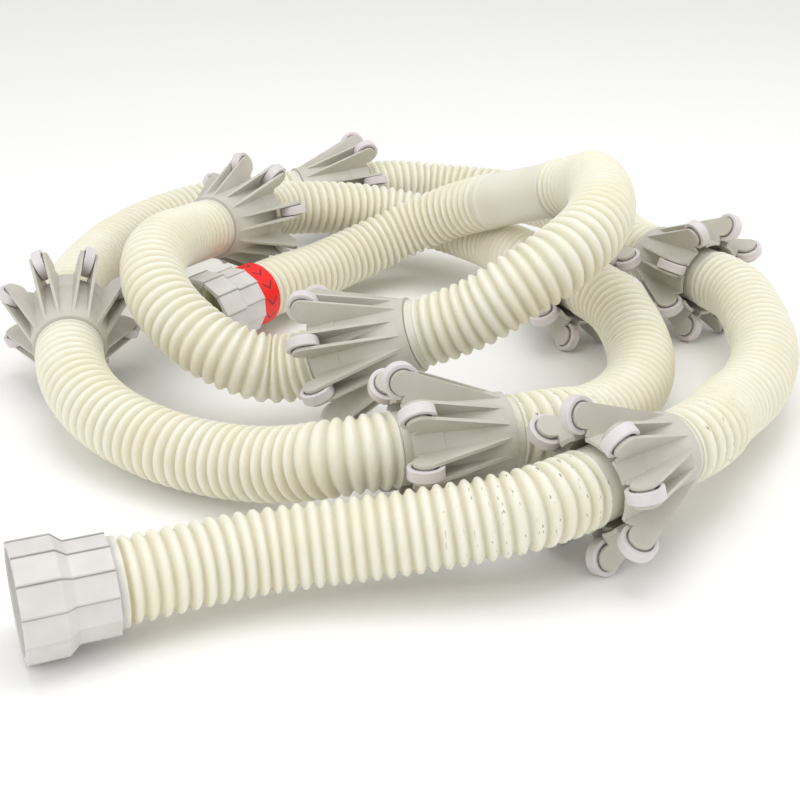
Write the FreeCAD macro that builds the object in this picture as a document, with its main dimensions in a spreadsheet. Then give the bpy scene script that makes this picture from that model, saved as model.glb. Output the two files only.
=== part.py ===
import FreeCAD, Part
import math
import os
import re
import Sketcher

# Floating suction hose of an automatic pool cleaner, laid down in loops.
# Ten corrugated hose sections are joined by rigid sleeves. Eight of the sleeves carry a cone-shaped
# guide with a ring of eight wheels, and each end of the hose carries a cuff that swivels.
# Millimetres. +Z is up, the floor is Z = 0, and the origin is on the floor under the middle.

os.makedirs("parts", exist_ok=True)
Vector = FreeCAD.Vector
doc = FreeCAD.newDocument("pool_cleaner")

SIZES = [
    ("hoseDia", 50.0, "hose, over its corrugations"),
    ("hoseWall", 2.6, "hose, from the outside to the bore"),
    ("sleeveStep", 1.5, "joint sleeve, below the hose's outside"),
    ("sleeveWall", 3.0, "joint sleeve, wall"),
    ("sleeveLead", 4.0, "sleeve showing past the guide's wide face"),
    ("sleeveTail", 6.0, "sleeve showing past the guide's narrow end"),
    ("ridgeWidth", 2.0, "stop ridge on the sleeve, along it"),
    ("ridgeRise", 1.3, "stop ridge on the sleeve, height"),
    ("guideLength", 70.0, "guide, wide face to narrow end"),
    ("guideWideRise", 8.0, "guide hub, above the sleeve at the wide face"),
    ("guideNarrowRise", 3.5, "guide hub, above the sleeve at the narrow end"),
    ("guideWall", 2.5, "guide hub, wall of the cone"),
    ("guideLand", 14.0, "length of guide that bears on the sleeve"),
    ("guidePlay", 0.3, "end play of the guide between its stops"),
    ("beltLength", 20.0, "raised belt round the hub, from the wide face"),
    ("beltRise", 0.7, "raised belt round the hub, height"),
    ("wheelClearance", 1.25, "between a wheel's tread and the hub's wide rim"),
    ("axleInset", 2.0, "wheel axles, in from the wide face"),
    ("finThickness", 2.2, "one fin of a pair"),
    ("wheelSideGap", 0.75, "between a wheel and a fin beside it"),
    ("finEndInset", 4.0, "fins, short of the narrow end"),
    ("eyeRadius", 8.0, "round fin tip about the axle"),
    ("scoopRadius", 9.5, "hollow in the back edge of a fin"),
    ("scoopOut", 6.5, "centre of that hollow, out from the hub"),
    ("scoopBack", 7.0, "centre of that hollow, behind the wide face"),
    ("notchLength", 9.0, "notch in the hub's rim under a wheel"),
    ("stubDia", 5.0, "stub axle on the inside of a fin"),
    ("stubReach", 3.0, "stub axle, out from the fin"),
    ("wheelDia", 23.5, "wheel, outside"),
    ("wheelWidth", 7.5, "wheel, along its axle"),
    ("wheelHubDia", 11.2, "wheel, inner ring"),
    ("wheelGrooveDia", 17.0, "wheel, outside of the groove in its face"),
    ("wheelGrooveDepth", 2.4, "wheel, depth of that groove"),
    ("wheelChamfer", 0.8, "wheel, edge of the tread"),
    ("cuffWideWall", 5.0, "cuff, from the socket to the corners of its wide end"),
    ("cuffNarrowWall", 2.8, "cuff, from the collar to the corners of its narrow end"),
    ("cuffWideLength", 23.0, "cuff, wide end"),
    ("cuffTaperLength", 6.0, "cuff, from wide to narrow"),
    ("cuffNarrowLength", 23.0, "cuff, narrow end"),
    ("socketStep", 3.0, "cuff, socket that takes the fitting, above the collar"),
    ("socketDepth", 20.0, "cuff, depth of that socket"),
    ("collarWall", 1.8, "collar that the cuff turns on, round the hose"),
    ("collarReach", 5.0, "collar, past the cuff's narrow end"),
    ("hoseSeat", 28.0, "hose, into the collar"),
    ("hoseGap", 0.2, "radial clearance of the hose in the collar and the band"),
    ("flangeRise", 1.5, "collar's flange, height"),
    ("flangeWidth", 3.0, "collar's flange, along it"),
    ("bandWidth", 20.0, "marker band on the hose"),
    ("bandWall", 0.7, "marker band, thickness"),
    ("bandGap", 1.5, "marker band, from the collar"),
    ("runningGap", 0.06, "radial clearance where one piece turns on another"),
    ("stubGap", 0.09, "radial clearance of a wheel on its stubs"),
    ("recessGap", 0.3, "clearance round and beside the collar's flange"),
]
# Sizes that follow from others, so that pieces which fit each other still do when one is changed.
SLEEVE = "(hoseDia / 2 - sleeveStep)"
HUB_WIDE = f"({SLEEVE} + guideWideRise)"
HUB_NARROW = f"({SLEEVE} + guideNarrowRise)"
AXLE_CIRCLE = f"({HUB_WIDE} + wheelDia / 2 + wheelClearance)"
FIN_GAP = "(wheelWidth + 2 * wheelSideGap)"
COLLAR = "(hoseDia / 2 + hoseGap + collarWall)"
SOCKET = f"({COLLAR} + socketStep)"
CUFF_LENGTH = "(cuffWideLength + cuffTaperLength + cuffNarrowLength)"
WHEELS = 8
CUFF_FACETS = 12

# Where the nine joints lie along the hose: the centre of the guide's wide face, then the direction
# of the hose from wide to narrow (azimuth, elevation) and the guide's turn about it, in degrees.
# At no turn one wheel points straight down. The last joint carries no guide.
JOINTS = [
    ((114, -283, 54.3), 38, 1, -17.5),
    ((263, 84, 53.2), 119, -1, 22.5),
    ((-38, 361, 53.1), -155, 0, 22.5),
    ((-259, 9, 53.2), -78, -3, 22.5),
    ((2, -233, 54.8), 18, 0, -7),
    ((157, 63, 53.2), 118, -2, 22.5),
    ((-133, 199, 74), -115, 6, 13),
    ((-52, -100, 58), -9, 20, 8),
    ((130, 122, 119), 131, -20, 0),
]
GUIDES = 8
LOOSE_WHEEL_GUIDES = (1, 2, 5, 8)

# The cuffs: the centre of the narrow end, and the azimuth from the cuff to its hose.
CUFFS = {"front": ((-156.6, -357.4, 35.2), 22.5), "back": ((-133, 81, 35.2), 55)}

# Each hose section between its straight ends, from the front cuff to the back cuff.
ROUTES = [
    [(-88, -327, 35), (-45, -319, 37), (0, -315, 41), (44, -311, 47)],
    [(218, -167, 46), (254, -117, 42), (278, -55, 45), (282, 7, 50)],
    [(202, 237, 50), (159, 315, 47), (105, 363, 46), (44, 385, 46)],
    [(-183, 317, 48), (-230, 275, 45), (-258, 207, 46), (-268, 130, 49)],
    [(-218, -131, 41), (-192, -159, 35), (-156, -185, 31), (-116, -205, 31), (-74, -225, 38)],
    [(132, -167, 41), (164, -121, 36), (184, -67, 38), (184, -13, 46)],
    [(100, 199, 41), (72, 241, 41), (30, 271, 45), (-18, 275, 54), (-66, 255, 64)],
    [(-188, 43, 98), (-189, -9, 97), (-176, -55, 87), (-146, -87, 70), (-114, -99, 56)],
    [(82, -115, 118), (116, -103, 137), (143, -65, 147), (154, -13, 149), (156, 51, 147)],
    [(26, 217, 62), (-10, 213, 46), (-46, 191, 35), (-80, 155, 31)],
]
LEAD = 30.0         # straight hose next to a joint, and past the hose's seat in the front collar
BAND_LEAD = 75.0    # straight hose from its seat in the back collar, under the marker band
ARC_SHARE = 0.45    # share of the shorter run that an arc of the hose uses up

sheet = doc.addObject("Spreadsheet::Sheet", "Sizes")
for row, (alias, number, meaning) in enumerate(SIZES, 1):
    sheet.set(f"A{row}", meaning)
    sheet.set(f"B{row}", str(number))
    sheet.setAlias(f"B{row}", alias)
doc.recompute()


def formula(text):
    """The text with each size's name turned into its place in the sheet."""
    return re.sub(r"[a-z]+[A-Z]\w*", lambda name: "Sizes." + name.group(), text)


def size(text):
    """The number that a formula of sizes comes to."""
    return float(sheet.evalExpression(formula(text)))


def direction(azimuth, elevation=0.0):
    a = math.radians(azimuth)
    e = math.radians(elevation)
    return Vector(math.cos(a) * math.cos(e), math.sin(a) * math.cos(e), math.sin(e))


def along(point, azimuth, elevation=0.0, turn=0.0):
    """A placement at point whose +Z runs in the given direction, and whose +X hangs down."""
    tilt = FreeCAD.Rotation(Vector(0, 0, 1), azimuth)
    tilt = tilt.multiply(FreeCAD.Rotation(Vector(0, 1, 0), 90 - elevation))
    tilt = tilt.multiply(FreeCAD.Rotation(Vector(0, 0, 1), turn))
    return FreeCAD.Placement(Vector(*point), tilt)


# Sketches and features

def new_body(name):
    body = doc.addObject("PartDesign::Body", name)
    body.Label = name.replace("_", " ")
    return body


def new_sketch(body, name):
    """A sketch on the body's XZ plane: its x is the radius, its y runs along the body's axis."""
    sketch = body.newObject("Sketcher::SketchObject", name)
    plane = [f for f in body.Origin.OriginFeatures if f.Role == "XZ_Plane"][0]
    sketch.AttachmentSupport = (plane, "")
    sketch.MapMode = "FlatFace"
    return sketch


def pin_point(sketch, edge, end, x, y):
    """Hold one end of an edge at the place that two formulas give."""
    for kind, axis, text in (("DistanceX", -2, x), ("DistanceY", -1, y)):
        value = size(text)
        if text == "0":
            sketch.addConstraint(Sketcher.Constraint("PointOnObject", edge, end, axis))
            continue
        if value > 0:
            rule = Sketcher.Constraint(kind, -1, 1, edge, end, value)
            text = formula(text)
        else:
            rule = Sketcher.Constraint(kind, edge, end, -1, 1, -value)
            text = f"-({formula(text)})"
        index = sketch.addConstraint(rule)
        sketch.setExpression(f"Constraints[{index}]", text)


def outline(sketch, corners):
    """A closed outline of straight edges through corners, each a pair of formulas."""
    places = [Vector(size(x), size(y), 0) for x, y in corners]
    count = len(corners)
    for i in range(count):
        sketch.addGeometry(Part.LineSegment(places[i], places[(i + 1) % count]))
    for i in range(count):
        sketch.addConstraint(Sketcher.Constraint("Coincident", i, 2, (i + 1) % count, 1))
    for i, (x, y) in enumerate(corners):
        pin_point(sketch, i, 1, x, y)


def disc(sketch, x, y, radius):
    sketch.addGeometry(Part.Circle(Vector(size(x), size(y), 0), Vector(0, 0, 1), size(radius)))
    pin_point(sketch, 0, 3, x, y)
    index = sketch.addConstraint(Sketcher.Constraint("Radius", 0, size(radius)))
    sketch.setExpression(f"Constraints[{index}]", formula(radius))


def turned(body, corners):
    """The body of revolution whose half section has these corners."""
    sketch = new_sketch(body, body.Name + "_section")
    outline(sketch, corners)
    spin = body.newObject("PartDesign::Revolution", body.Name + "_turned")
    spin.Profile = sketch
    spin.ReferenceAxis = (sketch, ["V_Axis"])
    spin.Angle = 360
    return spin


def across(body, kind, name, draw, width):
    """A pad or pocket of what draw puts in a sketch, centred on the XZ plane."""
    sketch = new_sketch(body, name + "_sketch")
    draw(sketch)
    feature = body.newObject("PartDesign::" + kind, name)
    feature.Profile = sketch
    feature.Midplane = True
    feature.setExpression("Length", formula(width))
    doc.recompute()
    return feature


def ring_of(body, features, count):
    """Repeat features round the body's axis."""
    pattern = body.newObject("PartDesign::PolarPattern", body.Name + "_ring")
    pattern.Originals = features
    axis = [f for f in body.Origin.OriginFeatures if f.Role == "Z_Axis"][0]
    pattern.Axis = (axis, [""])
    pattern.Angle = 360
    pattern.Occurrences = count
    body.Tip = pattern
    return pattern


# Wheel guide: a conical hub, with a pair of fins and two stub axles for each wheel.
# Its axis is Z, the wide face is Z = 0, and the first wheel is on +X.

def make_guide():
    body = new_body("guide_form")
    bore = f"{SLEEVE} + runningGap"
    throat = f"{HUB_NARROW} - guideWall / 2"
    taper = "(guideWideRise - guideNarrowRise) / guideLength"
    belt_end = f"{HUB_WIDE} - {taper} * beltLength"
    hub = turned(body, [
        (bore, "guideLength"),
        (bore, "guideLength - guideLand"),
        (throat, "guideLength - guideLand"),
        (f"{HUB_WIDE} - guideWall", "0"),
        (HUB_WIDE, "0"),
        (f"{belt_end} + beltRise", "beltLength"),
        (f"{belt_end} - {taper} * beltRise", "beltLength + beltRise"),
        (HUB_NARROW, "guideLength"),
    ])
    root = f"{HUB_NARROW} - guideWall / 4"
    fin_end = "guideLength - finEndInset"
    run = f"({fin_end} - axleInset)"
    rise = f"({AXLE_CIRCLE} - ({root}))"
    lean = f"(atan2({rise}; {run}) + asin(eyeRadius / sqrt({rise}^2 + {run}^2)))"
    block = f"{FIN_GAP} + 2 * finThickness"

    def plate(sketch):
        outline(sketch, [
            (root, fin_end),
            (f"{AXLE_CIRCLE} + eyeRadius * cos({lean})", f"axleInset + eyeRadius * sin({lean})"),
            (AXLE_CIRCLE, "axleInset - eyeRadius"),
            (f"{HUB_WIDE} - guideWall / 2", "guideWall / 2"),
        ])

    def scoop(sketch):
        disc(sketch, f"{HUB_WIDE} + scoopOut", "-scoopBack", "scoopRadius")

    def slot(sketch):
        outline(sketch, [
            (f"{HUB_WIDE} + beltRise", "-eyeRadius"),
            (f"{AXLE_CIRCLE} + wheelDia", "-eyeRadius"),
            (f"{AXLE_CIRCLE} + wheelDia", "guideLength"),
            (f"{HUB_NARROW} + beltRise", "guideLength"),
        ])

    def notch(sketch):
        outline(sketch, [
            (SLEEVE, "-eyeRadius"),
            (f"{HUB_WIDE} + beltRise", "-eyeRadius"),
            (f"{HUB_WIDE} + beltRise", "notchLength"),
            (SLEEVE, "notchLength"),
        ])

    features = [
        across(body, "Pad", "fin_plate", plate, block),
        across(body, "Pocket", "fin_scoop", scoop, f"{block} + finThickness"),
        across(body, "Pad", "fin_eye", lambda s: disc(s, AXLE_CIRCLE, "axleInset", "eyeRadius"), block),
        across(body, "Pocket", "wheel_slot", slot, FIN_GAP),
        across(body, "Pocket", "rim_notch", notch, FIN_GAP),
        across(body, "Pad", "stub", lambda s: disc(s, AXLE_CIRCLE, "axleInset", "stubDia / 2"),
               f"{FIN_GAP} + finThickness"),
        across(body, "Pocket", "stub_gap", lambda s: disc(s, AXLE_CIRCLE, "axleInset", "stubDia"),
               f"{FIN_GAP} - 2 * stubReach"),
    ]
    ring_of(body, features, WHEELS)
    return body


# Wheel: a rim and an inner ring with a groove between them in each face. Its axle is Z.

def make_wheel():
    body = new_body("wheel_form")
    face = "wheelWidth / 2"
    floor = "wheelWidth / 2 - wheelGrooveDepth"
    bore = "stubDia / 2 + stubGap"
    rim = "wheelDia / 2"
    upper = [
        (rim, f"{face} - wheelChamfer"),
        (f"{rim} - wheelChamfer", face),
        ("wheelGrooveDia / 2", face),
        ("wheelGrooveDia / 2", floor),
        ("wheelHubDia / 2", floor),
        ("wheelHubDia / 2", face),
        (bore, face),
    ]
    lower = [(x, f"-({y})") for x, y in reversed(upper)]
    turned(body, upper + lower)
    return body


# Joint sleeve: a tube with a stop ridge each side of the guide's bearing land.
# Z = 0 is where the guide's wide face comes.

def make_sleeve():
    body = new_body("sleeve_form")
    outer = SLEEVE
    crest = f"{SLEEVE} + ridgeRise"
    inner = f"{SLEEVE} - sleeveWall"
    front = "guideLength - guideLand - guidePlay"
    back = "guideLength + guidePlay"
    turned(body, [
        (inner, "-sleeveLead"),
        (outer, "-sleeveLead"),
        (outer, f"{front} - ridgeWidth"),
        (crest, f"{front} - ridgeWidth"),
        (crest, front),
        (outer, front),
        (outer, back),
        (crest, back),
        (crest, f"{back} + ridgeWidth"),
        (outer, f"{back} + ridgeWidth"),
        (outer, "guideLength + sleeveTail"),
        (inner, "guideLength + sleeveTail"),
    ])
    return body


# Cuff: twelve flat sides, a socket in the wide end and a bearing bore in the narrow end.
# Its axis is Z, and the wide face is Z = 0.

def make_cuff():
    sections = []
    wide = f"{SOCKET} + cuffWideWall"
    narrow = f"{COLLAR} + cuffNarrowWall"
    for name, height, to_corners in (
        ("cuff_mouth", "0", wide),
        ("cuff_waist", "cuffWideLength", wide),
        ("cuff_neck", "cuffWideLength + cuffTaperLength", narrow),
        ("cuff_tail", CUFF_LENGTH, narrow),
    ):
        polygon = doc.addObject("Part::RegularPolygon", name)
        polygon.Polygon = CUFF_FACETS
        polygon.setExpression("Circumradius", formula(to_corners))
        polygon.setExpression("Placement.Base.z", formula(height))
        sections.append(polygon)
    outside = doc.addObject("Part::Loft", "cuff_outside")
    outside.Sections = sections
    outside.Solid = True
    outside.Ruled = True
    bores = new_body("cuff_bores")
    recess = f"{COLLAR} + flangeRise + recessGap"
    bearing = f"{COLLAR} + runningGap"
    shoulder = "socketDepth + flangeWidth + recessGap"
    turned(bores, [
        ("0", "-flangeWidth"),
        (SOCKET, "-flangeWidth"),
        (SOCKET, "socketDepth"),
        (recess, "socketDepth"),
        (recess, shoulder),
        (bearing, shoulder),
        (bearing, f"{CUFF_LENGTH} + flangeWidth"),
        ("0", f"{CUFF_LENGTH} + flangeWidth"),
    ])
    cuff = doc.addObject("Part::Cut", "cuff_form")
    cuff.Base = outside
    cuff.Tool = bores
    return cuff


# Collar: the tube that the cuff turns on, with a flange in the cuff's recess.
# It shares the cuff's axes. The hose goes into its far end, as far as an inner lip.

def make_collar():
    body = new_body("collar_form")
    inner = "hoseDia / 2 - hoseWall"
    bore = "hoseDia / 2 + hoseGap"
    outer = COLLAR
    start = "socketDepth"
    flange = "socketDepth + flangeWidth"
    end = f"{CUFF_LENGTH} + collarReach"
    turned(body, [
        (inner, start),
        (f"{outer} + flangeRise", start),
        (f"{outer} + flangeRise", flange),
        (outer, flange),
        (outer, end),
        (bore, end),
        (bore, f"{end} - hoseSeat"),
        (inner, f"{end} - hoseSeat"),
    ])
    return body


def make_band():
    """The marker band, whose Z = 0 is the collar's far end."""
    body = new_body("band_form")
    inner = "hoseDia / 2 + hoseGap"
    turned(body, [
        (inner, "bandGap"),
        (f"{inner} + bandWall", "bandGap"),
        (f"{inner} + bandWall", "bandGap + bandWidth"),
        (inner, "bandGap + bandWidth"),
    ])
    return body


# Hose: a tube along straight runs joined by tangent arcs.

def hose_wire(points):
    """The path through points with every corner rounded, its length and its arcs' radii."""
    runs = [points[i + 1] - points[i] for i in range(len(points) - 1)]
    edges = []
    radii = []
    start = points[0]
    for i in range(1, len(points) - 1):
        back = runs[i - 1]
        ahead = runs[i]
        half_turn = back.getAngle(ahead) / 2
        setback = ARC_SHARE * min(back.Length, ahead.Length)
        radius = setback / math.tan(half_turn)
        entry = points[i] - back * (setback / back.Length)
        leave = points[i] + ahead * (setback / ahead.Length)
        inward = (entry + leave) / 2 - points[i]
        inward.normalize()
        crown = points[i] + inward * (radius / math.cos(half_turn) - radius)
        edges.append(Part.LineSegment(start, entry).toShape())
        edges.append(Part.Arc(entry, crown, leave).toShape())
        radii.append(radius)
        start = leave
    edges.append(Part.LineSegment(start, points[-1]).toShape())
    return Part.Wire(edges), radii


def swept(name, path, start, radius):
    """A round bar along the path."""
    ring = doc.addObject("Part::Circle", name + "_ring")
    ring.setExpression("Radius", formula(radius))
    ring.Placement = start
    bar = doc.addObject("Part::Sweep", name)
    bar.Sections = [ring]
    bar.Spine = (path, [f"Edge{i + 1}" for i in range(len(path.Shape.Edges))])
    bar.Solid = True
    bar.Frenet = False
    return bar


def make_hose(number, points):
    wire, radii = hose_wire(points)
    path = doc.addObject("Part::Feature", f"hose_path_{number}")
    path.Shape = wire
    heading = FreeCAD.Rotation(Vector(0, 0, 1), points[1] - points[0])
    start = FreeCAD.Placement(points[0], heading)
    hose = doc.addObject("Part::Cut", f"hose_section_{number}")
    hose.Base = swept(f"hose_outside_{number}", path, start, "hoseDia / 2")
    hose.Tool = swept(f"hose_bore_{number}", path, start, "hoseDia / 2 - hoseWall")
    doc.recompute()
    outer = size("hoseDia / 2")
    inner = size("hoseDia / 2 - hoseWall")
    expected = math.pi * (outer**2 - inner**2) * wire.Length
    ratio = hose.Shape.Volume / expected
    arcs = " ".join(f"{radius:.0f}" for radius in radii)
    print(f"hose {number}: length {wire.Length:.0f}, volume ratio {ratio:.5f}, arc radii {arcs}")
    if abs(ratio - 1) > 0.002:
        raise ValueError(f"hose {number} isn't a clean tube")
    return hose


# Build

nodes = {}


def add_node(name, form, placement):
    """A named sub-part: the form, at its own placement."""
    node = doc.addObject("Part::Compound", name)
    node.Links = [form]
    node.Placement = placement
    node.Label = name
    nodes[name] = node
    return node


def add_group(name, pieces):
    """One node of several separate solids."""
    node = doc.addObject("Part::Compound", name)
    node.Links = pieces
    node.Label = name
    nodes[name] = node


def loose_copy(name, form, placement):
    """A placed piece that isn't a node by itself."""
    piece = doc.addObject("Part::Compound", name)
    piece.Links = [form]
    piece.Placement = placement
    return piece


guide_form = make_guide()
wheel_form = make_wheel()
sleeve_form = make_sleeve()
cuff_form = make_cuff()
collar_form = make_collar()
band_form = make_band()
doc.recompute()

joint_places = [along(*joint) for joint in JOINTS]
sleeves = []
for number, place in enumerate(joint_places, 1):
    sleeves.append(loose_copy(f"sleeve_{number}", sleeve_form, place))
add_group("joint_sleeves", sleeves)

for number, place in enumerate(joint_places[:GUIDES], 1):
    add_node(f"wheel_guide_{number}", guide_form, place)
    wheels = []
    for wheel in range(WHEELS):
        angle = 360.0 * wheel / WHEELS
        spoke = FreeCAD.Rotation(Vector(0, 0, 1), angle)
        centre = spoke.multVec(Vector(size(AXLE_CIRCLE), 0, size("axleInset")))
        stand = FreeCAD.Placement(centre, spoke.multiply(FreeCAD.Rotation(Vector(1, 0, 0), -90)))
        wheel_place = place.multiply(stand)
        if number in LOOSE_WHEEL_GUIDES:
            add_node(f"guide_{number}_wheel_{wheel + 1}", wheel_form, wheel_place)
        else:
            wheels.append(loose_copy(f"wheel_{number}_{wheel + 1}", wheel_form, wheel_place))
    if wheels:
        add_group(f"guide_{number}_wheels", wheels)

hose_ends = []
cuff_length = size(CUFF_LENGTH)
for end, (narrow_end, azimuth) in CUFFS.items():
    mouth = Vector(*narrow_end) - direction(azimuth) * cuff_length
    place = along(mouth, azimuth)
    add_node(f"{end}_cuff", cuff_form, place)
    add_node(f"{end}_cuff_collar", collar_form, place)
    seat = Vector(*narrow_end) + direction(azimuth) * size("collarReach - hoseSeat")
    hose_ends.append((seat, direction(azimuth)))
back_seat, back_heading = hose_ends[1]
collar_end = back_seat + back_heading * size("hoseSeat")
add_node("marker_band", band_form, along(collar_end, CUFFS["back"][1]))

entries = [hose_ends[0]]
exits = []
for (face, azimuth, elevation, turn) in JOINTS:
    heading = direction(azimuth, elevation)
    exits.append((Vector(*face) - heading * size("sleeveLead"), heading * -1))
    entries.append((Vector(*face) + heading * size("guideLength + sleeveTail"), heading))
exits.append(hose_ends[1])

for number, route in enumerate(ROUTES, 1):
    first, first_heading = entries[number - 1]
    last, last_heading = exits[number - 1]
    last_lead = BAND_LEAD if number == len(ROUTES) else LEAD
    points = [first, first + first_heading * LEAD]
    points += [Vector(*point) for point in route]
    points += [last + last_heading * last_lead, last]
    nodes[f"hose_section_{number}"] = make_hose(number, points)

doc.recompute()
for item in doc.Objects:
    if {"Invalid", "Error"} & set(item.State):
        raise ValueError(f"{item.Name} failed: {item.State}")
for name, node in nodes.items():
    shape = node.Shape
    if shape.isNull() or not shape.isValid() or not shape.Solids:
        raise ValueError(f"{name} has no valid solid")

for name, node in nodes.items():
    node.Label = name
    node.Shape.exportStep(f"parts/{name}.step")
print(len(nodes), "nodes")
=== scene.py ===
import math
import bpy
import numpy as np
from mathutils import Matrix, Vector


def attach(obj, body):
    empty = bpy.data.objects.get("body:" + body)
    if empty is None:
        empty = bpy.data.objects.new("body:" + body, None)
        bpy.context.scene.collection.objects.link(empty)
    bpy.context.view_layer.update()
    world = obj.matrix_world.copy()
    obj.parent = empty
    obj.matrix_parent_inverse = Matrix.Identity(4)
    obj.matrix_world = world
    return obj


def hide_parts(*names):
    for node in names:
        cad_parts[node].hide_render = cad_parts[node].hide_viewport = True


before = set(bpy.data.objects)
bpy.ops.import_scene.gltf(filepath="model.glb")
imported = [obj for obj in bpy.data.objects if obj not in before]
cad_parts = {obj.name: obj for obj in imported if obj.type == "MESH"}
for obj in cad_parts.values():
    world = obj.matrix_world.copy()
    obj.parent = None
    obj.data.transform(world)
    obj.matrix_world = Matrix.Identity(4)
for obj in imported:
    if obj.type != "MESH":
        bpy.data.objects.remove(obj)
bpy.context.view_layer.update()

scene = bpy.context.scene
scene.view_settings.view_transform = "Standard"


def linear(hexColour):
    # an sRGB hex value as the linear colour that shaders take
    parts = np.array([int(hexColour[i:i + 2], 16) for i in (1, 3, 5)]) / 255
    lit = np.where(parts <= 0.04045, parts / 12.92, ((parts + 0.055) / 1.055) ** 2.4)
    return (*lit.tolist(), 1.0)


def addNode(tree, kind, options=None, sockets=None):
    # options are the node's own settings; a socket takes a value or another node's output
    node = tree.nodes.new("ShaderNode" + kind)
    for name, value in (options or {}).items():
        setattr(node, name, value)
    for name, value in (sockets or {}).items():
        if isinstance(value, bpy.types.NodeSocket):
            tree.links.new(value, node.inputs[name])
        else:
            node.inputs[name].default_value = value
    return node


def newMaterial(name):
    material = bpy.data.materials.new(name)
    material.use_nodes = True
    tree = material.node_tree
    return material, tree, tree.nodes["Principled BSDF"]


def heading(azimuth, elevation=0.0):
    a, e = math.radians(azimuth), math.radians(elevation)
    return np.array([math.cos(a) * math.cos(e), math.sin(a) * math.cos(e), math.sin(e)])


def standing(point, axis, turn=0.0):
    # origin and three axes: z along axis, x hanging down, both turned about z by turn degrees
    z = np.array(axis, float) / np.linalg.norm(axis)
    x = -np.array([0.0, 0.0, 1.0]) + z * z[2]
    x = x / np.linalg.norm(x)
    y = np.cross(z, x)
    c, s = math.cos(math.radians(turn)), math.sin(math.radians(turn))
    return np.array(point, float), np.array([x * c + y * s, y * c - x * s, z])


def placed(points, place):
    # local points carried to where the piece stands
    origin, axes = place
    return points @ axes + origin


def gridFaces(rows, columns, closeRows=False):
    # quads of a grid whose columns run round and close; rows close too if asked
    r = np.arange(rows if closeRows else rows - 1)[:, None]
    c = np.arange(columns)[None, :]
    up, across = (r + 1) % rows, (c + 1) % columns
    quads = np.stack([r * columns + c, r * columns + across,
                      up * columns + across, up * columns + c], axis=-1)
    return quads.reshape(-1, 4)


def buildMesh(name, points, faces, smooth=True):
    mesh = bpy.data.meshes.new(name)
    mesh.vertices.add(len(points))
    mesh.vertices.foreach_set("co", np.ascontiguousarray(points, np.float32).ravel())
    mesh.loops.add(faces.size)
    mesh.loops.foreach_set("vertex_index", faces.astype(np.int32).ravel())
    mesh.polygons.add(len(faces))
    mesh.polygons.foreach_set("loop_start", np.arange(0, faces.size, 4, dtype=np.int32))
    mesh.polygons.foreach_set("use_smooth", np.full(len(faces), smooth))
    mesh.update(calc_edges=True)
    mesh.validate()
    return mesh


def addPiece(name, mesh, material, body, replaced):
    piece = bpy.data.objects.new(name, mesh)
    scene.collection.objects.link(piece)
    mesh.materials.append(material)
    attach(piece, body)
    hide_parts(*replaced)
    return piece


def softCorners(corners, radius, steps=4):
    # a closed outline whose corners are each a short quadratic curve, with a holding point each side
    here = np.array(corners, float)
    back, ahead = np.roll(here, 1, 0) - here, np.roll(here, -1, 0) - here
    backLength = np.linalg.norm(back, axis=1, keepdims=True)
    aheadLength = np.linalg.norm(ahead, axis=1, keepdims=True)
    reach = np.minimum(radius, 0.32 * np.minimum(backLength, aheadLength))
    first = here + back / backLength * reach
    last = here + ahead / aheadLength * reach
    t = np.linspace(0, 1, steps)[None, :, None]
    curve = ((1 - t) ** 2 * first[:, None] + 2 * t * (1 - t) * here[:, None]
             + t ** 2 * last[:, None])
    before = here + back / backLength * reach * 1.4
    after = here + ahead / aheadLength * reach * 1.4
    return np.concatenate([before[:, None], curve, after[:, None]], axis=1).reshape(-1, 2)


def turnedSurface(outline, around):
    # x = r cos a, y = r sin a, z = z for each (r, z) of a closed outline and each angle a
    a = np.linspace(0, 2 * math.pi, around, endpoint=False)
    r, z = outline[:, 0][:, None], outline[:, 1][:, None]
    points = np.stack([r * np.cos(a), r * np.sin(a), z + 0 * a], axis=-1).reshape(-1, 3)
    return points, gridFaces(len(outline), around, closeRows=True)


def several(shape, places):
    # the same surface at several places as one set of points and faces
    points, faces = shape
    allPoints = np.concatenate([placed(points, place) for place in places])
    shift = (np.arange(len(places)) * len(points))[:, None, None]
    return allPoints, (faces[None] + shift).reshape(-1, 4)


# where things are: metres and degrees
# each joint: centre of the guide's wide face, azimuth and elevation of the hose, turn of the guide
joints = [
    ((0.114, -0.283, 0.0543), 38, 1, -17.5),
    ((0.263, 0.084, 0.0532), 119, -1, 22.5),
    ((-0.038, 0.361, 0.0531), -155, 0, 22.5),
    ((-0.259, 0.009, 0.0532), -78, -3, 22.5),
    ((0.002, -0.233, 0.0548), 18, 0, -7),
    ((0.157, 0.063, 0.0532), 118, -2, 22.5),
    ((-0.133, 0.199, 0.074), -115, 6, 13),
    ((-0.052, -0.100, 0.058), -9, 20, 8),
    ((0.130, 0.122, 0.119), 131, -20, 0),
]
cuffs = {
    "front": {"narrowEnd": (-0.1566, -0.3574, 0.0352), "azimuth": 22.5},
    "back": {"narrowEnd": (-0.133, 0.081, 0.0352), "azimuth": 55},
}
lay = {
    "lead": 0.030,          # straight hose beside a joint
    "bandLead": 0.075,      # straight hose under the marker band
    "guideRun": 0.076,      # wide face of a guide to the hose behind it
    "sleeveLead": 0.004,    # hose to the wide face ahead of it
    "seat": 0.023,          # hose inside the cuff, from its narrow end
    "cuffLength": 0.052,
}
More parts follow.
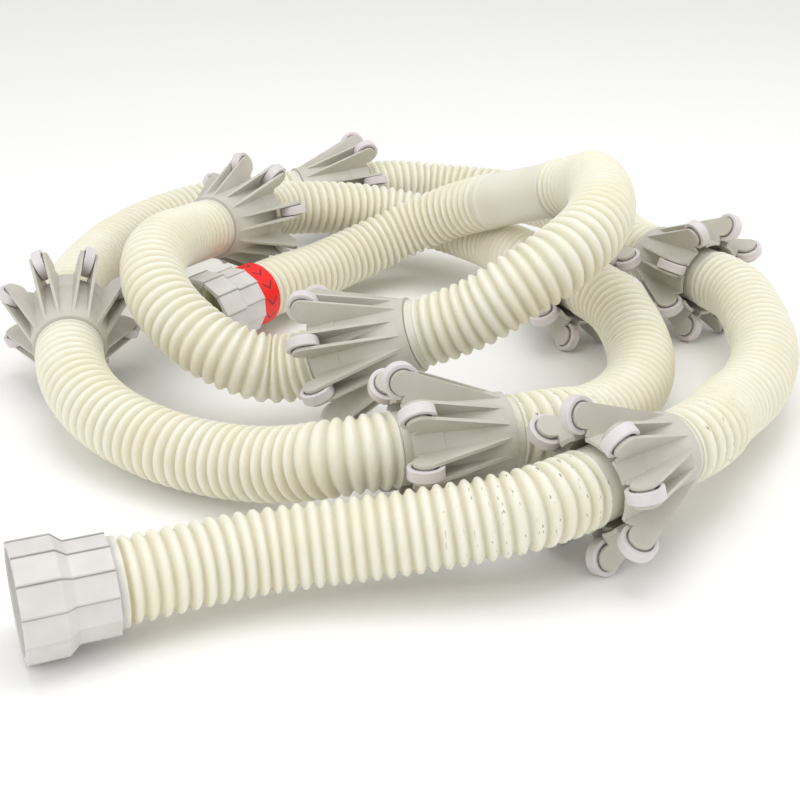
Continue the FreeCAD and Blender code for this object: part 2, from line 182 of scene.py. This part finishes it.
# what each section of hose passes between its straight ends, front cuff to back cuff
routes = [
    [(-0.088, -0.327, 0.035), (-0.045, -0.319, 0.037), (0.0, -0.315, 0.041), (0.044, -0.311, 0.047)],
    [(0.218, -0.167, 0.046), (0.254, -0.117, 0.042), (0.278, -0.055, 0.045), (0.282, 0.007, 0.050)],
    [(0.202, 0.237, 0.050), (0.159, 0.315, 0.047), (0.105, 0.363, 0.046), (0.044, 0.385, 0.046)],
    [(-0.183, 0.317, 0.048), (-0.230, 0.275, 0.045), (-0.258, 0.207, 0.046), (-0.268, 0.130, 0.049)],
    [(-0.218, -0.131, 0.041), (-0.192, -0.159, 0.035), (-0.156, -0.185, 0.031),
     (-0.116, -0.205, 0.031), (-0.074, -0.225, 0.038)],
    [(0.132, -0.167, 0.041), (0.164, -0.121, 0.036), (0.184, -0.067, 0.038), (0.184, -0.013, 0.046)],
    [(0.100, 0.199, 0.041), (0.072, 0.241, 0.041), (0.030, 0.271, 0.045),
     (-0.018, 0.275, 0.054), (-0.066, 0.255, 0.064)],
    [(-0.188, 0.043, 0.098), (-0.189, -0.009, 0.097), (-0.176, -0.055, 0.087),
     (-0.146, -0.087, 0.070), (-0.114, -0.099, 0.056)],
    [(0.082, -0.115, 0.118), (0.116, -0.103, 0.137), (0.143, -0.065, 0.147),
     (0.154, -0.013, 0.149), (0.156, 0.051, 0.147)],
    [(0.026, 0.217, 0.062), (-0.010, 0.213, 0.046), (-0.046, 0.191, 0.035), (-0.080, 0.155, 0.031)],
]
looseWheelGuides = (1, 2, 5, 8)
guideCount = 8
jointPlaces = [standing(face, heading(azimuth, elevation), turn)
               for face, azimuth, elevation, turn in joints]

cameraData = bpy.data.cameras.new("camera")
cameraData.lens = 60.5
camera = bpy.data.objects.new("camera", cameraData)
camera.location = (0.002, -0.985, 0.439)
camera.rotation_euler = (math.radians(65), 0, 0)
scene.collection.objects.link(camera)
scene.camera = camera
print("camera set")


# Blow-moulded polyethylene: ivory and waxy, light goes a little way in; the valleys between the
# corrugations are painted a darker, warmer cream as painted shade. The blown skin has a slight orange
# peel; handling leaves scuffs.
hoseLook = {
    "crest": "#EDE8D6", "valley": "#E3DABB", "stain": "#E8E1CB", "scuff": "#6E6551",
    "roughness": 0.36, "depth": (0.009, 0.0078, 0.0052), "inward": 0.5,
    "scuffCentre": (0.125, -0.275, 0.07), "scuffReach": 0.15,
}


def makePolyethylene(name, corrugated):
    look = hoseLook
    material, tree, shader = newMaterial(name)
    place = addNode(tree, "TexCoord").outputs["Object"]
    blotch = addNode(tree, "TexNoise", sockets={"Vector": place, "Scale": 22.0, "Detail": 3.0})
    patch = addNode(tree, "MapRange", sockets={
        "Value": blotch.outputs["Fac"], "From Min": 0.42, "From Max": 0.68})
    base = addNode(tree, "Mix", {"data_type": "RGBA"}, {
        "Factor": patch.outputs["Result"], 6: linear(look["crest"]), 7: linear(look["stain"])})
    colour = base.outputs[2]
    if corrugated:
        valley = addNode(tree, "Attribute", {"attribute_name": "valley"}).outputs["Fac"]
        deep = addNode(tree, "Math", {"operation": "POWER"}, {0: valley, 1: 1.6})
        # painted shade: deeper in each valley, the darker, warmer valley colour takes over from the crest
        # colour
        valleyShaded = addNode(tree, "Mix", {"data_type": "RGBA"}, {
            "Factor": deep.outputs[0], 6: colour, 7: linear(look["valley"])})
        # dashes 4 mm long: noise drawn out round the hose, kept to the crests near the first guide
        around = addNode(tree, "UVMap", {"uv_map": "skin"}).outputs["UV"]
        stretched = addNode(tree, "Mapping", sockets={"Vector": around, "Scale": (0.28, 1.0, 1.0)})
        dash = addNode(tree, "TexNoise", sockets={
            "Vector": stretched.outputs[0], "Scale": 560.0, "Detail": 1.0})
        dashed = addNode(tree, "MapRange", sockets={
            "Value": dash.outputs["Fac"], "From Min": 0.64, "From Max": 0.70})
        crest = addNode(tree, "MapRange", sockets={
            "Value": valley, "From Min": 0.25, "From Max": 0.05})
        away = addNode(tree, "VectorMath", {"operation": "DISTANCE"}, {
            0: place, 1: look["scuffCentre"]})
        near = addNode(tree, "MapRange", sockets={
            "Value": away.outputs["Value"], "From Min": look["scuffReach"], "From Max": 0.06})
        onCrest = addNode(tree, "Math", {"operation": "MULTIPLY"}, {
            0: dashed.outputs["Result"], 1: crest.outputs["Result"]})
        amount = addNode(tree, "Math", {"operation": "MULTIPLY"}, {
            0: onCrest.outputs[0], 1: near.outputs["Result"]})
        scuffed = addNode(tree, "Mix", {"data_type": "RGBA"}, {
            "Factor": amount.outputs[0], 6: valleyShaded.outputs[2], 7: linear(look["scuff"])})
        colour = scuffed.outputs[2]
    tree.links.new(colour, shader.inputs["Base Color"])
    # orange peel about 1.5 mm across, very shallow
    peel = addNode(tree, "TexNoise", sockets={"Vector": place, "Scale": 650.0, "Detail": 2.0})
    bump = addNode(tree, "Bump", sockets={
        "Height": peel.outputs["Fac"], "Strength": 0.25, "Distance": 0.0004})
    tree.links.new(bump.outputs["Normal"], shader.inputs["Normal"])
    worn = addNode(tree, "MapRange", sockets={
        "Value": blotch.outputs["Fac"], "From Min": 0.3, "From Max": 0.7,
        "To Min": look["roughness"] - 0.06, "To Max": look["roughness"] + 0.08})
    tree.links.new(worn.outputs["Result"], shader.inputs["Roughness"])
    shader.inputs["IOR"].default_value = 1.51
    shader.inputs["Subsurface Weight"].default_value = look["inward"]
    shader.inputs["Subsurface Radius"].default_value = look["depth"]
    shader.inputs["Subsurface Scale"].default_value = 1.0
    return material


def makeMoulded(name, look):
    # injection-moulded plastic: even, with soft clouds of tone and of dullness, fine spark texture; where
    # the look gives a step colour, a painted shadow line at the foot of each step
    material, tree, shader = newMaterial(name)
    place = addNode(tree, "TexCoord").outputs["Object"]
    cloud = addNode(tree, "TexNoise", sockets={
        "Vector": place, "Scale": look["cloud"], "Detail": 4.0})
    soft = addNode(tree, "MapRange", sockets={
        "Value": cloud.outputs["Fac"], "From Min": 0.35, "From Max": 0.7})
    base = addNode(tree, "Mix", {"data_type": "RGBA"}, {
        "Factor": soft.outputs["Result"], 6: linear(look["colour"]), 7: linear(look["tone"])})
    colour = base.outputs[2]
    # painted shadow: a dark line at the foot of each facet step, patchy with the clouds
    if "stepShadow" in look:
        stepShadowMask = addNode(tree, "Attribute", {"attribute_name": "stepShadow"}).outputs["Fac"]
        patchy = addNode(tree, "MapRange", sockets={
            "Value": cloud.outputs["Fac"], "From Min": 0.2, "From Max": 0.6, "To Min": 0.55})
        amount = addNode(tree, "Math", {"operation": "MULTIPLY"}, {0: stepShadowMask, 1: patchy.outputs["Result"]})
        stepShaded = addNode(tree, "Mix", {"data_type": "RGBA"}, {
            "Factor": amount.outputs[0], 6: colour, 7: linear(look["stepShadow"])})
        colour = stepShaded.outputs[2]
    tree.links.new(colour, shader.inputs["Base Color"])
    grain = addNode(tree, "TexNoise", sockets={
        "Vector": place, "Scale": look["grain"], "Detail": 2.0})
    bump = addNode(tree, "Bump", sockets={
        "Height": grain.outputs["Fac"], "Strength": 0.3, "Distance": look["rise"]})
    tree.links.new(bump.outputs["Normal"], shader.inputs["Normal"])
    shine = addNode(tree, "MapRange", sockets={
        "Value": cloud.outputs["Fac"], "From Min": 0.3, "From Max": 0.7,
        "To Min": look["roughness"] - 0.05, "To Max": look["roughness"] + 0.09})
    tree.links.new(shine.outputs["Result"], shader.inputs["Roughness"])
    shader.inputs["IOR"].default_value = look["ior"]
    shader.inputs["Subsurface Weight"].default_value = look["inward"]
    shader.inputs["Subsurface Radius"].default_value = (0.002, 0.0017, 0.0013)
    shader.inputs["Subsurface Scale"].default_value = 1.0
    return material


guideLook = {"colour": "#CBC7BD", "tone": "#C2BDB1", "cloud": 35.0, "grain": 1500.0,
             "rise": 0.00025, "roughness": 0.40, "ior": 1.50, "inward": 0.05}
wheelLook = {"colour": "#DED7D7", "tone": "#D4CCCC", "cloud": 60.0, "grain": 1800.0,
             "rise": 0.0002, "roughness": 0.34, "ior": 1.48, "inward": 0.10}
# the cuff's dark grey is the painted shadow line at the foot of each facet step
cuffLook = {"colour": "#DBD8D5", "tone": "#D0CCC8", "cloud": 40.0, "grain": 1400.0,
            "rise": 0.00025, "roughness": 0.44, "ior": 1.50, "inward": 0.05, "stepShadow": "#7E7A74"}

ribbedPolyethylene = makePolyethylene("blow moulded polyethylene", True)
plainPolyethylene = makePolyethylene("smooth moulded polyethylene", False)
guidePlastic = makeMoulded("injection moulded polypropylene", guideLook)
wheelPlastic = makeMoulded("turned moulded acetal", wheelLook)
cuffPlastic = makeMoulded("spark textured ABS", cuffLook)

# Printed vinyl tape: one even strong red with a low sheen, and darker arrowheads round it
bandLook = {"red": "#F50400", "mark": "#7C0A06", "arrows": 12, "armWidth": 0.0022,
            "armReach": 0.0055, "circle": 2 * math.pi * 0.0259}


def makeTape():
    look = bandLook
    material, tree, shader = newMaterial("printed vinyl tape")
    skin = addNode(tree, "UVMap", {"uv_map": "skin"})
    split = addNode(tree, "SeparateXYZ", sockets={0: skin.outputs["UV"]})
    # u runs round in metres, v across in metres from the band's middle: v + |v| bends the line
    slope = addNode(tree, "Math", {"operation": "ABSOLUTE"}, {0: split.outputs["Y"]})
    lean = addNode(tree, "Math", {"operation": "ADD"}, {0: split.outputs["X"], 1: slope.outputs[0]})
    step = look["circle"] / look["arrows"]
    turn = addNode(tree, "Math", {"operation": "WRAP"}, {0: lean.outputs[0], 1: step, 2: 0.0})
    thin = addNode(tree, "Math", {"operation": "LESS_THAN"}, {0: turn.outputs[0], 1: look["armWidth"]})
    inside = addNode(tree, "Math", {"operation": "LESS_THAN"}, {0: slope.outputs[0], 1: look["armReach"]})
    mark = addNode(tree, "Math", {"operation": "MULTIPLY"}, {0: thin.outputs[0], 1: inside.outputs[0]})
    base = addNode(tree, "Mix", {"data_type": "RGBA"}, {
        "Factor": mark.outputs[0], 6: linear(look["red"]), 7: linear(look["mark"])})
    tree.links.new(base.outputs[2], shader.inputs["Base Color"])
    shader.inputs["Roughness"].default_value = 0.42
    shader.inputs["IOR"].default_value = 1.52
    return material


tape = makeTape()
print("materials made")


hose = {
    "radius": 0.025,
    "pitch": 0.0082,
    "ribDepth": 0.0033,
    "ribShape": 1.35,       # above 1, the crests are broader than the valleys
    "bore": 0.0205,
    "ringsPerRib": 10,
    "around": 72,
    "endRound": 0.0016,
}


def smoothLine(points):
    # the route's own spline, read as Blender draws it
    curve = bpy.data.curves.new("route", "CURVE")
    curve.dimensions = "3D"
    spline = curve.splines.new("NURBS")
    spline.points.add(len(points) - 1)
    spline.points.foreach_set("co", np.c_[np.array(points), np.ones(len(points))].ravel())
    spline.order_u = 3
    spline.use_endpoint_u = True
    spline.resolution_u = 24
    holder = bpy.data.objects.new("route", curve)
    mesh = bpy.data.meshes.new_from_object(holder)
    line = np.empty(len(mesh.vertices) * 3)
    mesh.vertices.foreach_get("co", line)
    bpy.data.objects.remove(holder)
    bpy.data.curves.remove(curve)
    bpy.data.meshes.remove(mesh)
    return line.reshape(-1, 3)


def evenly(line, count):
    # count points a steady distance apart on the line, and the line's length
    run = np.r_[0, np.cumsum(np.linalg.norm(np.diff(line, axis=0), axis=1))]
    at = np.linspace(0, run[-1], count)
    return np.stack([np.interp(at, run, line[:, i]) for i in range(3)], axis=1), run[-1]


def sideways(line):
    # across and up of a line that never stands upright: across = along x Z, up = across x along
    ahead = np.gradient(line, axis=0)
    ahead /= np.linalg.norm(ahead, axis=1, keepdims=True)
    across = np.cross(ahead, [0.0, 0.0, 1.0])
    across /= np.linalg.norm(across, axis=1, keepdims=True)
    return across, np.cross(across, ahead)


def carried(line, radii, around):
    # a round section of each ring's radius: line + r (across cos a + up sin a)
    across, up = sideways(line)
    a = np.linspace(0, 2 * math.pi, around, endpoint=False)[None, :, None]
    return line[:, None] + radii[:, None, None] * (across[:, None] * np.cos(a) + up[:, None] * np.sin(a))


def skinMap(mesh, along, around, circle):
    # UV in metres: u round the piece, v along it; the last face round ends at the full circle
    corner = np.empty(len(mesh.loops), np.int32)
    mesh.loops.foreach_get("vertex_index", corner)
    ring, spot = corner // around, corner % around
    step = spot.reshape(-1, 4)
    wrapped = np.where((step.max(1, keepdims=True) == around - 1) & (step == 0), around, step).ravel()
    uv = np.stack([wrapped / around * circle, along[ring]], axis=1)
    layer = mesh.uv_layers.new(name="skin")
    layer.data.foreach_set("uv", uv.astype(np.float32).ravel())


def makeHose(number, points):
    line = smoothLine(points)
    length = evenly(line, 2)[1]
    ribs = max(1, round(length / hose["pitch"]))
    rings, length = evenly(line, ribs * hose["ringsPerRib"] + 1)
    s = np.linspace(0, length, len(rings))
    # valley = (1 - cos(pi |u|^shape)) / 2, with u from -1 to 1 over each rib and 0 on its crest
    u = (s / length * ribs + 0.5) % 1.0 * 2 - 1
    valley = 0.5 - 0.5 * np.cos(math.pi * np.abs(u) ** hose["ribShape"])
    radii = hose["radius"] - hose["ribDepth"] * valley
    # the two ends are rounded over: r falls by e (1 - sqrt(1 - (1 - d/e)^2)) near an end
    fromEnd = np.minimum(s, length - s) / hose["endRound"]
    dip = 1 - np.sqrt(1 - np.clip(1 - fromEnd, 0, 1) ** 2)
    radii = radii - 0.7 * hose["endRound"] * dip
    outer = carried(rings, radii, hose["around"])
    backRows = np.arange(len(rings) - 1, -1, -hose["ringsPerRib"])
    inner = carried(rings, np.full(len(rings), hose["bore"]), hose["around"])[backRows]
    points3 = np.concatenate([outer, inner]).reshape(-1, 3)
    faces = gridFaces(len(rings) + len(backRows), hose["around"], closeRows=True)
    mesh = buildMesh(f"hose_section_{number}_skin", points3, faces)
    # the bore takes valley 1, so the inside of the hose is painted wholly in the valley shade colour
    tone = np.repeat(np.r_[valley, np.ones(len(backRows))], hose["around"])
    mesh.attributes.new("valley", "FLOAT", "POINT").data.foreach_set("value", tone.astype(np.float32))
    skinMap(mesh, np.r_[s, s[backRows]], hose["around"], 2 * math.pi * hose["radius"])
    return mesh, rings, length


def hosePoints(number):
    # start, straight lead, the route, straight lead, end
    if number == 1:
        way = heading(cuffs["front"]["azimuth"])
        start = np.array(cuffs["front"]["narrowEnd"]) - way * lay["seat"]
    else:
        face, azimuth, elevation, _ = joints[number - 2]
        way = heading(azimuth, elevation)
        start = np.array(face) + way * lay["guideRun"]
    if number == len(routes):
        back = heading(cuffs["back"]["azimuth"])
        end = np.array(cuffs["back"]["narrowEnd"]) - back * lay["seat"]
        lead = lay["bandLead"]
    else:
        face, azimuth, elevation, _ = joints[number - 1]
        back = -heading(azimuth, elevation)
        end = np.array(face) + back * lay["sleeveLead"]
        lead = lay["lead"]
    return [start, start + way * lay["lead"], *[np.array(p) for p in routes[number - 1]],
            end + back * lead, end]


band = {"width": 0.020, "fromCuff": 0.0008, "radius": 0.0261, "wall": 0.0007, "edge": 0.00025,
        "around": 96, "mapRadius": 0.0259}
hosePieces = []
for number in range(1, len(routes) + 1):
    points = hosePoints(number)
    mesh, rings, length = makeHose(number, points)
    piece = addPiece(f"corrugated_hose_{number}", mesh, ribbedPolyethylene, "root",
                     [f"hose_section_{number}"])
    hosePieces.append((piece, points, rings, length))
print("hose sections made")

# the marker band follows the last section: its section is a thin rounded strip
_, _, lastRings, lastLength = hosePieces[-1]
bandEnd = lay["seat"] + band["fromCuff"]
strip = softCorners([(0, 0), (band["wall"], 0), (band["wall"], band["width"]), (0, band["width"])],
                    band["edge"])
far = lastLength - bandEnd - strip[:, 1]
runs = np.linspace(0, lastLength, len(lastRings))
across, up = sideways(lastRings)
bandLine, acrossHere, upHere = (
    np.stack([np.interp(far, runs, line[:, i]) for i in range(3)], axis=1)
    for line in (lastRings, across, up))
angles = np.linspace(0, 2 * math.pi, band["around"], endpoint=False)[None, :, None]
bandRadii = (band["radius"] + strip[:, 0])[:, None, None]
bandPoints = bandLine[:, None] + bandRadii * (acrossHere[:, None] * np.cos(angles)
                                              + upHere[:, None] * np.sin(angles))
bandMesh = buildMesh("marker_band_skin", bandPoints.reshape(-1, 3),
                     gridFaces(len(strip), band["around"], closeRows=True)[:, ::-1])
skinMap(bandMesh, strip[:, 1] - band["width"] / 2, band["around"], 2 * math.pi * band["mapRadius"])
bandPiece = addPiece("marker_tape", bandMesh, tape, "root", ["marker_band"])

# joint sleeves and collars
sleeve = {"outer": 0.0235, "inner": 0.0205, "lead": 0.004, "tail": 0.076, "ridge": 0.0013,
          "ridgeFront": (0.0537, 0.0557), "ridgeBack": (0.0703, 0.0723), "round": 0.0006,
          "shoulder": 0.0011, "shoulderLength": 0.007, "shoulderRise": 0.002, "bareRound": 0.0014}


def sleeveOutline(bare):
    o, i, rise = sleeve["outer"], sleeve["inner"], sleeve["ridge"]
    front, back = sleeve["ridgeFront"], sleeve["ridgeBack"]
    corners = [(i, -sleeve["lead"]), (o, -sleeve["lead"])]
    if bare:
        # without a guide the moulding shows a round shoulder where its tail meets the hose
        bulge, start = sleeve["shoulder"], sleeve["tail"] - sleeve["shoulderLength"]
        corners += [(o, start), (o + bulge, start + sleeve["shoulderRise"]), (o + bulge, sleeve["tail"])]
    else:
        for low, high in (front, back):
            corners += [(o, low), (o + rise, low), (o + rise, high), (o, high)]
        corners += [(o, sleeve["tail"])]
    corners += [(i, sleeve["tail"])]
    return softCorners(corners, sleeve["bareRound"] if bare else sleeve["round"])


guided = several(turnedSurface(sleeveOutline(False), 72), jointPlaces[:guideCount])
bare = several(turnedSurface(sleeveOutline(True), 72), jointPlaces[guideCount:])
sleevePoints = np.concatenate([guided[0], bare[0]])
sleeveFaces = np.concatenate([guided[1], bare[1] + len(guided[0])])
sleeveMesh = buildMesh("joint_sleeve_skins", sleevePoints, sleeveFaces[:, ::-1])
addPiece("moulded_joint_sleeves", sleeveMesh, plainPolyethylene, "root", ["joint_sleeves"])

collar = {"inner": 0.0224, "bore": 0.0252, "outer": 0.027, "start": 0.020, "flange": 0.023,
          "flangeRadius": 0.0285, "end": 0.057, "lip": 0.029, "round": 0.0005,
          "neck": 0.0259, "neckStart": 0.0475}
for end, cuff in cuffs.items():
    way = heading(cuff["azimuth"])
    mouth = np.array(cuff["narrowEnd"]) - way * lay["cuffLength"]
    cuff["place"] = standing(mouth, way)
    outline = softCorners([
        (collar["inner"], collar["start"]), (collar["flangeRadius"], collar["start"]),
        (collar["flangeRadius"], collar["flange"]), (collar["outer"], collar["flange"]),
        (collar["outer"], collar["neckStart"]), (collar["neck"], collar["neckStart"] + 0.001),
        (collar["neck"], collar["end"]), (collar["bore"], collar["end"]),
        (collar["bore"], collar["lip"]), (collar["inner"], collar["lip"])], collar["round"])
    points, faces = turnedSurface(outline, 96)
    mesh = buildMesh(f"{end}_collar_skin", placed(points, cuff["place"]), faces[:, ::-1])
    addPiece(f"{end}_swivel_collar", mesh, plainPolyethylene, "root", [f"{end}_cuff_collar"])
print("sleeves and collars made")


cuffShape = {
    "facets": 12, "facetSteps": 7, "step": 0.0010, "turn": 15.0, "flare": 0.0276, "flareDepth": 0.004,
    "wideRadius": 0.0349, "narrowRadius": 0.0297, "wideLength": 0.023, "taperEnd": 0.029,
    "length": 0.052, "socket": 0.030, "socketDepth": 0.020, "recess": 0.0288,
    "recessEnd": 0.0233, "bearing": 0.02706, "round": 0.0008,
    "nearStep": (0.06, 0.90, 0.985), "innerRim": 0.0007, "blend": 0.002, "shadowLineShare": 0.01,
}


def cuffSurface():
    # outside: r = R cos(h) / cos(a - h) - step f over each facet, with h half a facet's angle and
    # f from 1 to 0 across it, so each flat ends in a small step like a ratchet. inside: r is round
    c = cuffShape
    outline = softCorners([
        (c["socket"], 0), (c["wideRadius"], 0), (c["wideRadius"], c["wideLength"]),
        (c["narrowRadius"], c["taperEnd"]), (c["narrowRadius"], c["length"]),
        (c["flare"], c["length"]), (c["bearing"], c["length"] - c["flareDepth"]),
        (c["bearing"], c["recessEnd"]),
        (c["recess"], c["recessEnd"]), (c["recess"], c["socketDepth"]),
        (c["socket"], c["socketDepth"])], c["round"], 5)
    facet = 2 * math.pi / c["facets"]
    share = np.sort(np.r_[np.linspace(0, 1, c["facetSteps"])[:-1], c["nearStep"]])
    f = np.tile(share, c["facets"])
    a = (np.arange(c["facets"])[:, None] * facet + share[None] * facet).ravel()
    flat = math.cos(facet / 2) / np.cos(f * facet - facet / 2)
    r, z = outline[:, 0][:, None], outline[:, 1][:, None]
    outside = np.clip((r - c["socket"]) / (c["narrowRadius"] - c["innerRim"] - c["bearing"]), 0, 1)
    outside = np.where(z >= c["wideLength"], np.clip((r - c["bearing"]) / c["blend"], 0, 1), outside)
    radius = r * (1 + outside * (flat - 1)) - outside * c["step"] * (1 - f)
    a = a + math.radians(c["turn"])
    points = np.stack([radius * np.cos(a), radius * np.sin(a), z + 0 * a], axis=-1)
    # painted shadow at the foot of each step: 1 there, 0 elsewhere
    shadowLine = np.where((outside > 0.5) & (f < c["shadowLineShare"]), 1.0, 0.0)
    return points.reshape(-1, 3), gridFaces(len(outline), len(a), closeRows=True), shadowLine.ravel()


cuffPoints, cuffFaces, cuffShadowLine = cuffSurface()
for end, cuff in cuffs.items():
    mesh = buildMesh(f"{end}_cuff_skin", placed(cuffPoints, cuff["place"]), cuffFaces[:, ::-1])
    # where the painted shadow line lies on the cuff
    stepShadow = mesh.attributes.new("stepShadow", "FLOAT", "POINT")
    stepShadow.data.foreach_set("value", cuffShadowLine.astype(np.float32))
    addPiece(f"{end}_swivel_cuff", mesh, cuffPlastic, f"{end}_cuff", [f"{end}_cuff"])
print("cuffs made")


# guides: the frame's own shapes, with their edges softened
guideEdge = {"width": 0.0004, "segments": 2, "angle": 35.0}
for number in range(1, guideCount + 1):
    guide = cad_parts[f"wheel_guide_{number}"]
    guide.data.materials.clear()
    guide.data.materials.append(guidePlastic)
    weld = guide.modifiers.new("join", "WELD")
    weld.merge_threshold = 0.00001
    bevel = guide.modifiers.new("softEdges", "BEVEL")
    bevel.width = guideEdge["width"]
    bevel.segments = guideEdge["segments"]
    bevel.limit_method = "ANGLE"
    bevel.angle_limit = math.radians(guideEdge["angle"])
print("guides finished")


wheel = {
    "radius": 0.01175, "width": 0.0075, "hub": 0.0056, "groove": 0.0085, "grooveDepth": 0.0024,
    "bore": 0.00259, "round": 0.0007, "around": 40,
    "circle": 0.0445, "inset": 0.002, "count": 8,
}


def wheelSurface():
    w = wheel
    half, floor = w["width"] / 2, w["width"] / 2 - w["grooveDepth"]
    side = [(w["radius"], half), (w["groove"], half), (w["groove"], floor),
            (w["hub"], floor), (w["hub"], half), (w["bore"], half)]
    corners = side + [(r, -z) for r, z in reversed(side)]
    return turnedSurface(softCorners(corners, w["round"], 4), w["around"])


wheelShape = wheelSurface()
for number in range(1, guideCount + 1):
    origin, axes = jointPlaces[number - 1]
    stands = []
    for k in range(wheel["count"]):
        a = 2 * math.pi * k / wheel["count"]
        outward = axes[0] * math.cos(a) + axes[1] * math.sin(a)
        sidewise = axes[1] * math.cos(a) - axes[0] * math.sin(a)
        centre = origin + outward * wheel["circle"] + axes[2] * wheel["inset"]
        stands.append((centre, np.array([outward, np.cross(sidewise, outward), sidewise])))
    if number in looseWheelGuides:
        for k, stand in enumerate(stands, 1):
            mesh = buildMesh(f"wheel_{number}_{k}_skin", placed(wheelShape[0], stand), wheelShape[1])
            addPiece(f"grooved_wheel_{number}_{k}", mesh, wheelPlastic, f"wheel_{number}_{k}",
                     [f"guide_{number}_wheel_{k}"])
    else:
        points, faces = several(wheelShape, stands)
        mesh = buildMesh(f"guide_{number}_wheel_skins", points, faces)
        addPiece(f"grooved_wheels_{number}", mesh, wheelPlastic, f"guide_{number}",
                 [f"guide_{number}_wheels"])
print("wheels made")


# floor and light
floorPoints = np.array([(-6, -6, 0), (6, -6, 0), (6, 6, 0), (-6, 6, 0)], float)
floorMesh = buildMesh("studio_floor", floorPoints, np.array([[0, 1, 2, 3]]), False)
floorMaterial, floorTree, floorShader = newMaterial("matt white studio card")
floorPlace = addNode(floorTree, "TexCoord").outputs["Object"]
floorGrain = addNode(floorTree, "TexNoise", sockets={"Vector": floorPlace, "Scale": 3.0, "Detail": 2.0})
floorTone = addNode(floorTree, "Mix", {"data_type": "RGBA"}, {
    "Factor": floorGrain.outputs["Fac"], 6: linear("#FAFAF9"), 7: linear("#F8F8F7")})
floorTree.links.new(floorTone.outputs[2], floorShader.inputs["Base Color"])
floorShader.inputs["Roughness"].default_value = 0.9
floorShader.inputs["Specular IOR Level"].default_value = 0.1
floorMesh.materials.append(floorMaterial)
floorPiece = bpy.data.objects.new("studio_floor", floorMesh)
scene.collection.objects.link(floorPiece)

world = bpy.data.worlds.new("studio")
world.use_nodes = True
world.node_tree.nodes["Background"].inputs["Color"].default_value = linear("#FFFFFF")
world.node_tree.nodes["Background"].inputs["Strength"].default_value = 0.80
scene.world = world

lamps = [
    {"name": "overhead", "at": (0.1, -0.2, 1.9), "aim": (0.0, 0.05, 0.0), "size": 1.3, "power": 12.0},
    {"name": "front", "at": (-0.9, -1.5, 1.3), "aim": (0.0, 0.0, 0.05), "size": 1.0, "power": 6.0},
    {"name": "side", "at": (1.6, 0.2, 0.9), "aim": (0.0, 0.0, 0.05), "size": 0.9, "power": 2.0},
]
for lamp in lamps:
    data = bpy.data.lights.new(lamp["name"], "AREA")
    data.shape = "SQUARE"
    data.size = lamp["size"]
    data.energy = lamp["power"]
    holder = bpy.data.objects.new(lamp["name"], data)
    scene.collection.objects.link(holder)
    holder.location = lamp["at"]
    gaze = Vector(lamp["aim"]) - Vector(lamp["at"])
    holder.rotation_euler = gaze.to_track_quat("-Z", "Y").to_euler()
print("studio lit")
